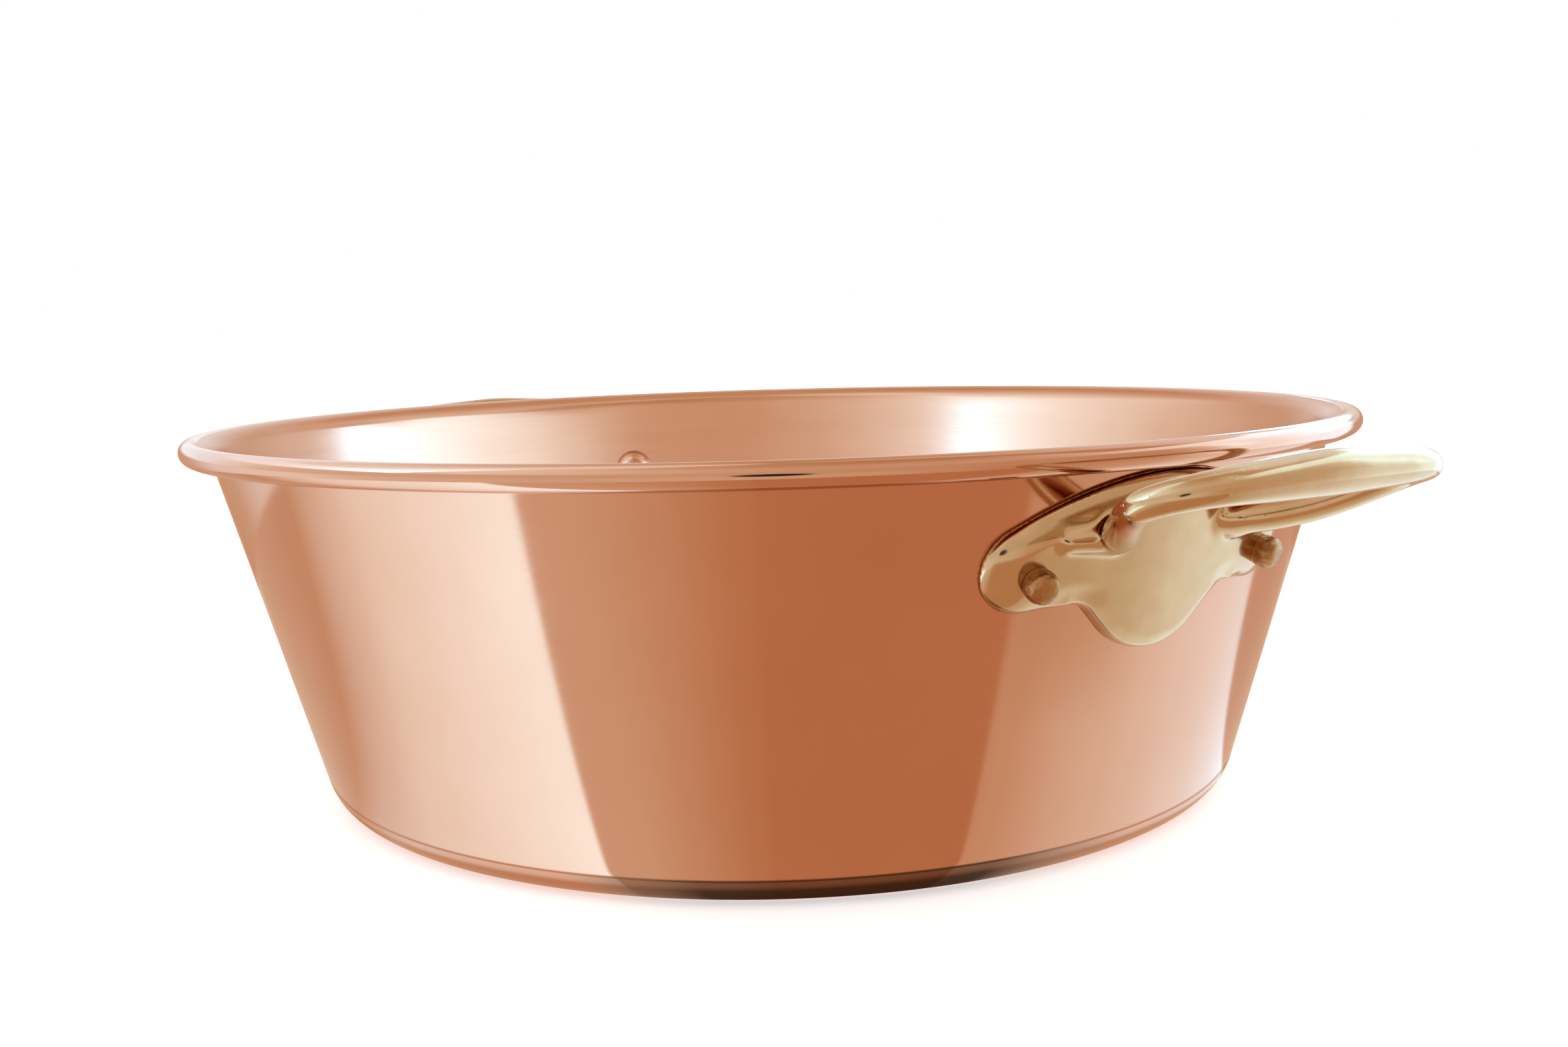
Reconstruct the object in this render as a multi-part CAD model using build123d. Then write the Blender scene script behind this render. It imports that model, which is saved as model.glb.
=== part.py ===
from build123d import *
import os
from math import acos, asin, atan2, copysign, cos, hypot, pi, radians, sin, tan

# Copper preserving pan: a sheet bowl with a wired rim and two cast handles, each on two rivets.
# Millimetres, Z up. The origin is the middle of the underside, and the handles lie on the X axis.

# Bowl
rim_diameter = 380.0
base_diameter = 298.0
pan_height = 120.0
sheet = 1.2
base_corner_radius = 14.0
rim_flare_radius = 6.5
rim_wire_diameter = 3.6
rim_wire_gap = 0.45
rim_curl_angle = 255.0

# Handle plate, with its heights as drops below the top of the rim
plate_thickness = 5.0
plate_edge_radius = 2.2
edge_limit_share = 0.45
plate_rim_gap = 0.6
seat_gap = 0.1
lobe_radius = 11.6
lobe_offset_across = 1.5
lobe_offset_up = 1.8
notch_radius = 8.5
notch_spacing = 55.0
notch_drop = 40.4
tongue_radius = 22.0
tongue_drop = 54.9

# Handle loop: places of its middle line, then the size of its bar
loop_width = 90.2
loop_reach = 45.7
loop_rise = 16.3
loop_root_drop = 22.4
loop_root_sink = 2.5
grip_height = 11.2
grip_thickness = 10.0

# Half of the loop's middle line, from root to grip: across, out and up, as shares of its three sizes
loop_path_shares = [(0.45, 0.0, 0.0), (0.64, 0.255, 0.1), (0.865, 0.478, 0.356), (1.0, 0.725, 0.712),
                    (0.894, 0.904, 0.892), (0.502, 0.984, 0.972), (0.0, 1.0, 1.0)]
# Bar sections: place along the half loop, then thickness and height as shares of the grip's
loop_section_shares = [(0.0, 2.4, 0.78), (0.055, 1.7, 0.79), (0.1, 1.1, 0.8), (0.18, 0.92, 0.78),
                       (0.32, 0.82, 0.72), (0.48, 0.86, 0.69), (0.64, 0.97, 0.7), (0.82, 1.04, 0.86)]

# Rivets
rivet_diameter = 8.0
rivet_hole_gap = 0.1
rivet_spacing = 78.8
rivet_drop = 32.0
inner_head_diameter = 15.0
inner_head_height = 5.0
inner_head_side = 0.6
outer_head_diameter = 9.2
outer_head_height = 5.8
outer_head_side = 2.6

# How far cutters run past what they cut
cut_overrun = 8.0

# Worked out from the sizes above
rim_radius = rim_diameter / 2
base_radius = base_diameter / 2
wire_radius = rim_wire_diameter / 2
curl_inside = wire_radius + rim_wire_gap
curl_outside = curl_inside + sheet
curl_centre = Vector(rim_radius - curl_outside, pan_height - curl_outside)
flare_inside = rim_flare_radius - sheet / 2
flare_outside = rim_flare_radius + sheet / 2
flare_centre = Vector(curl_centre.X, pan_height - flare_outside)


def wall_slope():
    """Angle of the wall above level, where its outer line is tangent to the flare."""
    run = flare_centre.X - base_radius
    climb = flare_centre.Y
    return atan2(climb, run) + asin(flare_inside / hypot(run, climb))


slope = wall_slope()
lean = pi / 2 - slope


def wall_radius(height, offset=0.0):
    """Radius of the wall's outer face at a height, moved out square to the wall."""
    return base_radius + height * tan(lean) + offset / cos(lean)


def wall_cone(offset):
    """Solid inside the wall's outer face, with that face moved out by the offset."""
    return Cone(wall_radius(0, offset), wall_radius(pan_height, offset), pan_height,
                align=(Align.CENTER, Align.CENTER, Align.MIN))


def on_circle(centre, radius, angle):
    return Vector(centre.X + radius * cos(angle), centre.Y + radius * sin(angle))


def arc(centre, radius, start, end):
    """Arc about a centre from one angle to another, in radians."""
    middle = (start + end) / 2
    return ThreePointArc(*[on_circle(centre, radius, angle) for angle in (start, middle, end)])


def joined(lines):
    """Closed face of lines and arcs, with straight lines laid between their ends."""
    edges = []
    for line, after in zip(lines, lines[1:] + lines[:1]):
        edges.append(line)
        if (line @ 1 - after @ 0).length > sheet / 1000:
            edges.append(Line(line @ 1, after @ 0))
    return make_face(Wire(edges))


def bowl_section():
    """Half section of the sheet: underside, wall, flare and the curl round the wire."""
    corner_inside = base_corner_radius - sheet
    corner_centre = Vector(base_radius - base_corner_radius * tan(slope / 2), base_corner_radius)
    top = pi / 2
    wall_out = pi / 2 + slope
    curl_end = top - radians(rim_curl_angle)
    axis_low = Vector(0, 0)
    axis_high = Vector(0, sheet)
    return joined([
        arc(corner_centre, base_corner_radius, -top, -lean),
        arc(flare_centre, flare_inside, wall_out, top),
        arc(curl_centre, curl_inside, top, curl_end),
        arc(curl_centre, curl_outside, curl_end, top),
        arc(flare_centre, flare_outside, top, wall_out),
        arc(corner_centre, corner_inside, -lean, -top),
        Line(axis_high, axis_low),
    ])


def turned(face):
    """A half section turned about the Z axis."""
    return revolve(Plane.XZ * face, Axis.Z, 360)


def wall_plane(across, height):
    """A place on the wall's outer face, with its Z axis square out of the wall."""
    radius = wall_radius(height)
    turn = asin(across / radius)
    outward = Vector(cos(turn) * cos(lean), sin(turn) * cos(lean), -sin(lean))
    return Plane(Vector(radius * cos(turn), across, height), z_dir=outward)


def rivet_plane(side):
    return wall_plane(side * rivet_spacing / 2, pan_height - rivet_drop)


def rivet_bore(side):
    """Cutter for a rivet's hole through the wall and the plate."""
    reach = sheet + plate_thickness + cut_overrun
    return rivet_plane(side) * Cylinder(rivet_diameter / 2 + rivet_hole_gap, 2 * reach)


def bowl():
    body = turned(bowl_section())
    for side in (-1, 1):
        bore = rivet_bore(side)
        body -= bore
        body -= bore.rotate(Axis.Z, 180)
    return body


def rim_wire():
    return turned(Pos(curl_centre.X, curl_centre.Y) * Circle(wire_radius))


def crossing_tangent(centre, radius, other, other_radius, turn):
    """Angles on two circles where a line touches both and crosses between them."""
    between = other - centre
    reach = atan2(between.Y, between.X)
    spread = acos((radius + other_radius) / hypot(between.X, between.Y))
    angle = reach + turn * spread
    return angle, angle + pi


def plate_outline():
    """Outline of the plate, across and up: a long top arc, two lobes, two notches and a tongue."""
    top = pan_height - 2 * curl_outside - plate_rim_gap
    lobe = Vector(rivet_spacing / 2 + lobe_offset_across, pan_height - rivet_drop + lobe_offset_up)
    notch = Vector(notch_spacing / 2, pan_height - notch_drop - notch_radius)
    tongue = Vector(0, pan_height - tongue_drop + tongue_radius)
    fall = top - lobe.Y
    top_radius = (lobe.X**2 + fall**2 - lobe_radius**2) / (2 * (fall - lobe_radius))
    top_centre = Vector(0, top - top_radius)
    lobe_top = atan2(lobe.Y - top_centre.Y, lobe.X)
    notch_out, lobe_low = crossing_tangent(notch, notch_radius, lobe, lobe_radius, 1)
    tongue_side, notch_in = crossing_tangent(tongue, tongue_radius, notch, notch_radius, -1)
    lobe_low -= 2 * pi
    right = [
        arc(lobe, lobe_radius, lobe_top, lobe_low),
        arc(notch, notch_radius, notch_out, notch_in),
        arc(tongue, tongue_radius, tongue_side, -pi / 2),
    ]
    left = [
        arc(tongue, tongue_radius, -pi / 2, -pi - tongue_side),
        arc(mirrored(notch), notch_radius, pi - notch_in, pi - notch_out),
        arc(mirrored(lobe), lobe_radius, pi - lobe_low, pi - lobe_top),
    ]
    return joined(right + left + [arc(top_centre, top_radius, pi - lobe_top, lobe_top)])


def mirrored(point):
    return Vector(-point.X, point.Y)


def plate():
    """Plate bent to the wall, with the edges of its outer face rounded."""
    outer = seat_gap + plate_thickness
    shell = wall_cone(outer) - wall_cone(seat_gap)
    blank = extrude(Plane.YZ * plate_outline(), rim_radius)
    body = blank & shell
    front = body.faces().filter_by(GeomType.CONE).sort_by(SortBy.AREA)[-2:].sort_by(Axis.X)[-1]
    return fillet(front.edges(), min(plate_edge_radius, edge_limit_share * plate_thickness))


def loop_point(across, out, up):
    """A place on the loop's middle line from its three shares."""
    height = pan_height - loop_root_drop
    face = wall_radius(height, seat_gap + plate_thickness)
    root = loop_path_shares[0][0] * loop_width / 2
    start = face * cos(asin(root / face)) - loop_root_sink
    reach = face + loop_reach - start
    return Vector(start + out * reach, across * loop_width / 2, height + up * loop_rise)


def loop():
    """Cast bar through ovals square to its middle line, with its two roots laid along the plate."""
    half = [loop_point(*shares) for shares in loop_path_shares]
    other = [Vector(point.X, -point.Y, point.Z) for point in half[-2::-1]]
    path = Spline(*half, *other, tangents=[(1, 0, 0), (-1, 0, 0)])
    root = half[0]
    root_directions = {0: wall_plane(root.Y, root.Z).z_dir, 1: -wall_plane(-root.Y, root.Z).z_dir}
    stations = [(place / 2, wide, tall) for place, wide, tall in loop_section_shares]
    mirrored_stations = [(1 - place, wide, tall) for place, wide, tall in reversed(stations)]
    ovals = []
    for place, wide, tall in stations + [(0.5, 1.0, 1.0)] + mirrored_stations:
        along = root_directions.get(place) or path % place
        level = Vector(0, 0, 1).cross(along).normalized()
        plane = Plane(path @ place, x_dir=level, z_dir=along)
        ovals.append(plane * Ellipse(wide * grip_thickness / 2, tall * grip_height / 2))
    return loft(ovals)


def handle():
    body = plate() + loop()
    for side in (-1, 1):
        body -= rivet_bore(side)
    return body


def dome(radius, side, rise):
    """Arc from a head's edge to its tip on the axis, where a negative rise points down."""
    dome_radius = (radius**2 + rise**2) / (2 * rise)
    centre = Vector(0, side + rise - dome_radius)
    edge = atan2(side - centre.Y, radius)
    return arc(centre, abs(dome_radius), edge, copysign(pi / 2, rise))


def rivet():
    """Rivet on the Z axis: broad domed head inside the bowl, narrow hammered one on the plate."""
    shank_radius = rivet_diameter / 2
    inner_radius = inner_head_diameter / 2
    outer_radius = outer_head_diameter / 2
    bulge = inner_radius**2 / (2 * wall_radius(pan_height - rivet_drop, -sheet))
    inner_seat = -(sheet + seat_gap + bulge)
    outer_seat = seat_gap + plate_thickness + seat_gap
    inner_side = inner_seat - inner_head_side
    outer_side = outer_seat + outer_head_side
    return turned(joined([
        dome(outer_radius, outer_side, outer_head_height - outer_head_side),
        Line((0, outer_seat), (0, inner_seat)),
        dome(inner_radius, inner_side, inner_head_side - inner_head_height).reversed(),
        Line((inner_radius, inner_seat), (shank_radius, inner_seat)),
        Line((shank_radius, outer_seat), (outer_radius, outer_seat)),
    ]))


def main():
    os.makedirs("parts", exist_ok=True)
    nodes = {"pan_body": bowl(), "rim_wire": rim_wire()}
    for name, turn in (("right", 0), ("left", 180)):
        nodes[name + "_handle"] = handle().rotate(Axis.Z, turn)
        for place, side in (("front", -1), ("back", 1)):
            nodes[name + "_" + place + "_rivet"] = (rivet_plane(side) * rivet()).rotate(Axis.Z, turn)
    for name, solid in nodes.items():
        solid.label = name
        export_step(solid, "parts/" + name + ".step")


main()
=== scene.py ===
from math import acos, asin, atan2, cos, hypot, pi, radians, sin, tan

import bpy
import numpy as np
from mathutils import Matrix, Vector


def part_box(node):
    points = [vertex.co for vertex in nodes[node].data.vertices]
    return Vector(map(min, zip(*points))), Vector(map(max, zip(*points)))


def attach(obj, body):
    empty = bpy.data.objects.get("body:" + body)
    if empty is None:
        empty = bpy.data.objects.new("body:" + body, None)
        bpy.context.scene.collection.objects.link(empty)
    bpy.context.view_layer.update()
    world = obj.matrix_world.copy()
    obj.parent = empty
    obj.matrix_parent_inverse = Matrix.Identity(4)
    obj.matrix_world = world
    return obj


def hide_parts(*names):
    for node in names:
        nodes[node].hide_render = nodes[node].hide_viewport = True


# Copper jam pan in a plain white studio. Lengths are in millimetres until a mesh is made of them.
MM = 0.001

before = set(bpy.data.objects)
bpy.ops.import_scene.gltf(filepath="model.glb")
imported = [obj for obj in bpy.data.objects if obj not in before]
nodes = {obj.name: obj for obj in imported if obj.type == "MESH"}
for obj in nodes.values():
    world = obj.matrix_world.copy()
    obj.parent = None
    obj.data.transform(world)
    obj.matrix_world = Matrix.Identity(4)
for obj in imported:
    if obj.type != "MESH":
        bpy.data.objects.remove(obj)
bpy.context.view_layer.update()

# Sizes that the looks share with the solids
rim_diameter = 379.85
base_diameter = 298.0
pan_height = 120.0
sheet = 1.2
base_corner_radius = 14.0
rim_flare_radius = 6.5
curl_inside = 2.25
rim_curl_angle = 255.0
plate_thickness = 5.0
seat_gap = 0.1
rivet_spacing = 78.8
rivet_drop = 32.0

curl_outside = curl_inside + sheet
curl_centre = (rim_diameter / 2 - curl_outside, pan_height - curl_outside)
flare_inside = rim_flare_radius - sheet / 2
flare_outside = rim_flare_radius + sheet / 2
flare_centre = (curl_centre[0], pan_height - flare_outside)


def wall_slope():
    """Angle of the wall above level, where its outer line meets the flare smoothly."""
    run = flare_centre[0] - base_diameter / 2
    climb = flare_centre[1]
    return atan2(climb, run) + asin(flare_inside / hypot(run, climb))


slope = wall_slope()
lean = pi / 2 - slope


def wall_radius(height):
    """Radius of the wall's outer face at a height."""
    return base_diameter / 2 + height * tan(lean)


# Camera: where it stands round the pan, how far and how high, and how it points
camera_side = radians(-33.8)
camera_distance = 552.4
camera_height = 151.7
camera_turn = radians(55.85)
camera_tilt = radians(-7.2)
camera_roll = radians(-1.63)
camera_lens = 37.24


def studio_camera():
    data = bpy.data.cameras.new("studio_camera")
    data.lens = camera_lens
    data.sensor_width = 36.0
    data.clip_start = 0.01
    data.clip_end = 50.0
    camera = bpy.data.objects.new("studio_camera", data)
    bpy.context.scene.collection.objects.link(camera)
    place = Vector((cos(camera_side) * camera_distance, sin(camera_side) * camera_distance, camera_height))
    turn = Matrix.Rotation(camera_turn, 4, "Z")
    tilt = Matrix.Rotation(pi / 2 + camera_tilt, 4, "X")
    roll = Matrix.Rotation(camera_roll, 4, "Z")
    camera.matrix_world = Matrix.Translation(place * MM) @ turn @ tilt @ roll
    bpy.context.scene.camera = camera


def linear(hex_colour):
    """An sRGB hex value as linear red, green, blue and full alpha."""
    shares = [int(hex_colour[i:i + 2], 16) / 255 for i in (1, 3, 5)]
    return tuple(c / 12.92 if c <= 0.04045 else ((c + 0.055) / 1.055)**2.4 for c in shares) + (1.0,)


def add(tree, kind, inputs=None, **settings):
    """One node in a tree, with its settings and with its inputs as links or plain values."""
    made = tree.nodes.new(kind)
    for name, value in settings.items():
        setattr(made, name, value)
    for key, value in (inputs or {}).items():
        socket = made.inputs[key]
        if isinstance(value, bpy.types.Node):
            value = next(output for output in value.outputs if output.enabled)
        if isinstance(value, bpy.types.NodeSocket):
            tree.links.new(value, socket)
        else:
            socket.default_value = value
    return made


def material(name):
    made = bpy.data.materials.new(name)
    made.use_nodes = True
    made.node_tree.nodes.clear()
    return made, made.node_tree


def finished(tree, shader):
    add(tree, "ShaderNodeOutputMaterial", {"Surface": shader})


def maths(tree, operation, *values):
    return add(tree, "ShaderNodeMath", dict(enumerate(values)), operation=operation)


def vector_maths(tree, operation, *values, **inputs):
    return add(tree, "ShaderNodeVectorMath", {**dict(enumerate(values)), **inputs}, operation=operation)


def own_place(tree):
    """Place in the object's own coordinates."""
    return add(tree, "ShaderNodeTexCoord").outputs["Object"]


def noise(tree, place, width, detail):
    """Noise whose marks are about this many millimetres wide."""
    inputs = {"Vector": place, "Scale": 1 / (width * MM), "Detail": detail}
    return add(tree, "ShaderNodeTexNoise", inputs).outputs["Fac"]


def ring_noise(tree, round_scale, width, detail):
    """Noise drawn out into lines round the Z axis, each about this many millimetres wide."""
    parts = add(tree, "ShaderNodeSeparateXYZ", {"Vector": own_place(tree)})
    flat = add(tree, "ShaderNodeCombineXYZ", {"X": parts.outputs["X"], "Y": parts.outputs["Y"]})
    heading = vector_maths(tree, "NORMALIZE", flat)
    radius = vector_maths(tree, "LENGTH", flat).outputs["Value"]
    along = maths(tree, "SUBTRACT", parts.outputs["Z"], radius)
    rise = add(tree, "ShaderNodeCombineXYZ", {"Z": maths(tree, "MULTIPLY", along, 1 / (width * MM))})
    level = vector_maths(tree, "SCALE", heading, Scale=round_scale)
    drawn = vector_maths(tree, "ADD", level, rise)
    return add(tree, "ShaderNodeTexNoise", {"Vector": drawn, "Scale": 1.0, "Detail": detail}).outputs["Fac"]


def between(tree, share, first, second):
    """A colour between two sRGB values."""
    return add(tree, "ShaderNodeMix", {0: share, 6: linear(first), 7: linear(second)}, data_type="RGBA")


def spread(tree, share, low, high):
    """A number between two others."""
    return add(tree, "ShaderNodeMapRange", {"Value": share, "To Min": low, "To Max": high})


def bump(tree, height, depth, under=None):
    """A bump of so many millimetres, on top of another where one is given."""
    inputs = {"Height": height, "Strength": 1.0, "Distance": depth * MM}
    if under is not None:
        inputs["Normal"] = under
    return add(tree, "ShaderNodeBump", inputs)


def metal(tree, tone, roughness, **inputs):
    inputs = {"Base Color": tone, "Metallic": 1.0, "Roughness": roughness, **inputs}
    finished(tree, add(tree, "ShaderNodeBsdfPrincipled", inputs))


def polished_copper():
    """Copper buffed to a mirror on a lathe: sheer gloss, faint lines round it and a soft unevenness."""
    made, tree = material("buffed_copper")
    place = own_place(tree)
    # The spun sheet waves by a few hundredths of a millimetre, over some 45 mm
    waves = bump(tree, noise(tree, place, 45, 1.0), 0.03)
    # Buffing lines, drawn coarser than the real ones
    lines = ring_noise(tree, 2.5, 0.9, 2.0)
    tone = between(tree, noise(tree, place, 30, 4.0), "#D29D7E", "#CC9474")
    metal(tree, tone, spread(tree, lines, 0.07, 0.13), Normal=bump(tree, lines, 0.0015, waves))
    return made


def brushed_copper():
    """The same sheet inside, rubbed round with fine abrasive: it draws each reflection out up and down."""
    made, tree = material("brushed_copper")
    lines = ring_noise(tree, 3.0, 0.8, 3.0)
    tarnish = maths(tree, "MULTIPLY", ring_noise(tree, 1.5, 7, 2.0), noise(tree, own_place(tree), 30, 4.0))
    tone = between(tree, tarnish, "#D4A081", "#C58C6B")
    tangent = add(tree, "ShaderNodeTangent", direction_type="RADIAL", axis="Z")
    metal(tree, tone, spread(tree, lines, 0.13, 0.24), Anisotropic=0.7, Tangent=tangent,
          Normal=bump(tree, lines, 0.0025))
    return made


def cast_bronze():
    """Pale bronze, sand cast and then polished by hand: glossy, a little uneven, with fine rubbing marks."""
    made, tree = material("polished_cast_bronze")
    place = own_place(tree)
    skin = noise(tree, place, 6, 1.0)
    marks = noise(tree, place, 1.2, 3.0)
    tone = between(tree, skin, "#CFAF88", "#C3A178")
    uneven = bump(tree, skin, 0.04)
    metal(tree, tone, spread(tree, marks, 0.09, 0.18), Normal=bump(tree, marks, 0.002, uneven))
    return made


def hammered_rivet_metal():
    """Copper alloy rivet, closed with a hammer and left dull on the plate."""
    made, tree = material("hammered_rivet_metal")
    pits = noise(tree, own_place(tree), 1.0, 4.0)
    tone = between(tree, pits, "#C09262", "#8E6034")
    metal(tree, tone, spread(tree, pits, 0.24, 0.4), Normal=bump(tree, pits, 0.015))
    return made


def planished_copper():
    """Copper rivet head, planished smooth: a soft gloss with slight flats."""
    made, tree = material("planished_copper")
    flats = noise(tree, own_place(tree), 5, 1.0)
    tone = between(tree, flats, "#D4A081", "#C68F6F")
    metal(tree, tone, spread(tree, flats, 0.1, 0.18), Normal=bump(tree, flats, 0.04))
    return made


def drawn_steel():
    """Bright drawn steel wire, with lines round the ring."""
    made, tree = material("drawn_steel_wire")
    lines = ring_noise(tree, 4.0, 0.4, 2.0)
    tone = between(tree, lines, "#A2A4A6", "#7E8082")
    metal(tree, tone, spread(tree, lines, 0.25, 0.4))
    return made


def arc(centre, radius, start, end, count):
    """Points on an arc, from one angle to another in radians."""
    angles = np.linspace(start, end, count)
    return [(centre[0] + radius * cos(a), centre[1] + radius * sin(a)) for a in angles]


def run(start, end, count):
    """Points on a straight run, without its two ends."""
    shares = np.linspace(0, 1, count + 2)[1:-1]
    return [(start[0] + (end[0] - start[0]) * t, start[1] + (end[1] - start[1]) * t) for t in shares]


def sheet_section():
    """Half section of the pan from the axis under the base, out round the rim and back to the axis inside.

    With it comes the number of the point where the inside's finish begins.
    """
    corner_inside = base_corner_radius - sheet
    corner = (base_diameter / 2 - base_corner_radius * tan(slope / 2), base_corner_radius)
    top = pi / 2
    wall_out = pi / 2 + slope
    curl_end = top - radians(rim_curl_angle)
    low = arc(corner, base_corner_radius, -top, -lean, 18)
    flare = arc(flare_centre, flare_inside, wall_out, top, 12)
    curl = arc(curl_centre, curl_inside, top, curl_end, 24)
    bead = arc(curl_centre, curl_outside, curl_end, top, 56)
    inner_flare = arc(flare_centre, flare_outside, top, wall_out, 16)
    inner_low = arc(corner, corner_inside, -lean, -top, 18)
    outside = [(0.0, 0.0)] + run((0, 0), low[0], 12) + low + run(low[-1], flare[0], 36)
    outside += flare + curl[1:] + bead
    crest = len(outside) + 3
    inside = inner_flare[1:] + run(inner_flare[-1], inner_low[0], 36) + inner_low
    inside += run(inner_low[-1], (0, sheet), 12) + [(0.0, sheet)]
    return outside + inside, crest


def geometry_tree(name, inputs, output):
    """A Geometry Nodes tree, its inputs' own names in a modifier, and the inputs as its nodes get them."""
    tree = bpy.data.node_groups.new(name, "GeometryNodeTree")
    sockets = {}
    for label, kind in inputs.items():
        made = tree.interface.new_socket(name=label, in_out="INPUT", socket_type="NodeSocket" + kind)
        sockets[label] = made.identifier
    tree.interface.new_socket(name=output, in_out="OUTPUT", socket_type="NodeSocketGeometry")
    return tree, sockets, add(tree, "NodeGroupInput").outputs


def turning_tree():
    """Geometry Nodes that turn a half section about the Z axis, as a lathe does, and close seam and poles."""
    tree, sockets, given = geometry_tree("turn_half_section", {
        "Half Section": "Geometry", "Section Points": "Int", "Steps Round": "Int", "Second From": "Float",
        "First Finish": "Material", "Second Finish": "Material"}, "Turned")
    grid = add(tree, "GeometryNodeMeshGrid", {
        "Size X": 1.0, "Size Y": 1.0, "Vertices X": given["Section Points"],
        "Vertices Y": maths(tree, "ADD", given["Steps Round"], 1.0)})
    place = add(tree, "GeometryNodeInputPosition")
    shares = vector_maths(tree, "ADD", place, (0.5, 0.5, 0.0))
    parts = add(tree, "ShaderNodeSeparateXYZ", {"Vector": shares})
    is_second = add(tree, "FunctionNodeCompare", {0: parts.outputs["X"], 1: given["Second From"]},
                    operation="GREATER_THAN")
    first = add(tree, "GeometryNodeSetMaterial", {
        "Geometry": grid.outputs["Mesh"], "Material": given["First Finish"]})
    both = add(tree, "GeometryNodeSetMaterial", {
        "Geometry": first, "Selection": is_second, "Material": given["Second Finish"]})
    last = maths(tree, "SUBTRACT", given["Section Points"], 1.0)
    index = maths(tree, "ROUND", maths(tree, "MULTIPLY", parts.outputs["X"], last))
    point = add(tree, "GeometryNodeSampleIndex", {
        "Geometry": given["Half Section"], "Value": place, "Index": index},
        data_type="FLOAT_VECTOR", domain="POINT")
    angle = maths(tree, "MULTIPLY", parts.outputs["Y"], -2 * pi)
    turned = add(tree, "ShaderNodeVectorRotate", {"Vector": point, "Angle": angle}, rotation_type="Z_AXIS")
    shaped = add(tree, "GeometryNodeSetPosition", {"Geometry": both, "Position": turned})
    closed = add(tree, "GeometryNodeMergeByDistance", {"Geometry": shaped, "Distance": 0.001 * MM})
    smooth = add(tree, "GeometryNodeSetShadeSmooth", {"Geometry": closed})
    real = add(tree, "GeometryNodeRealizeInstances", {"Geometry": smooth})
    add(tree, "NodeGroupOutput", {"Turned": real})
    return tree, sockets


def mesh_object(name, points, edges=(), faces=()):
    mesh = bpy.data.meshes.new(name)
    mesh.from_pydata([tuple(c * MM for c in point) for point in points], list(edges), list(faces))
    made = bpy.data.objects.new(name, mesh)
    bpy.context.scene.collection.objects.link(made)
    return made


def turned_piece(name, section, second_from, steps, first_finish, second_finish):
    """A piece that the lathe tree turns from its half section, still as its modifier."""
    points = [(r, 0.0, z) for r, z in section]
    made = mesh_object(name, points, edges=[(i, i + 1) for i in range(len(points) - 1)])
    lathe = made.modifiers.new("lathe", "NODES")
    lathe.node_group = turning
    lathe[turning_sockets["Section Points"]] = len(points)
    lathe[turning_sockets["Steps Round"]] = steps
    lathe[turning_sockets["Second From"]] = (second_from - 0.5) / (len(points) - 1)
    lathe[turning_sockets["First Finish"]] = first_finish
    lathe[turning_sockets["Second Finish"]] = second_finish
    return made


def baked(piece, sharp=50):
    """The piece as its own plain mesh with its modifiers worked out, smooth but for sharper edges."""
    depsgraph = bpy.context.evaluated_depsgraph_get()
    mesh = bpy.data.meshes.new_from_object(piece.evaluated_get(depsgraph))
    piece.modifiers.clear()
    piece.data = mesh
    mesh.set_sharp_from_angle(angle=radians(sharp))
    return piece


# Rivet on its own axis, whose zero is the wall's outer face
outer_seat = seat_gap + plate_thickness + seat_gap
head_radius = 4.6
head_height = 5.4
# The head's profile: power of its rounding, and how much narrower it is where it sits and how soon that ends
head_power = 3.4
head_taper = 0.09
head_taper_power = 2.5
shank_radius = 4.0
# Where the inner head sits: inside the sheet, its gap and the wall's bend under the head
inner_seat = -1.463
inner_side = 0.6
inner_radius = 7.5
inner_height = 5.0
facet_width = 4.4
facet_depth = 0.2
# Height over the seat of the point that the facets look away from, and where they have their full depth
facet_middle = 2.0
facet_full = 0.8
# How upright the head is where the facets begin to fade and where they end, and the share that is left there
facet_fade = (0.62, 0.86)
facet_left = 0.15
rivet_sharp = 62


def rivet_section():
    """Half section from the inner head's middle to the outer's, and where the hammered head begins."""
    fall = inner_height - inner_side
    sphere = (inner_radius**2 + fall**2) / (2 * fall)
    centre = (0.0, inner_seat - inner_height + sphere)
    inner = arc(centre, sphere, -pi / 2, -acos(inner_radius / sphere), 22)
    shank = [(inner_radius, inner_seat), (shank_radius, inner_seat), (shank_radius, outer_seat)]
    outer = []
    for share in np.linspace(0.0, 1.0, 30):
        up = sin(share * pi / 2)
        width = head_radius * (1 - head_taper * (1 - up)**head_taper_power)
        outer.append((width * max(1 - up**head_power, 0.0)**(1 / head_power), outer_seat + head_height * up))
    outer[-1] = (0.0, outer_seat + head_height)
    return inner + shank + outer, len(inner) + len(shank)


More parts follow.
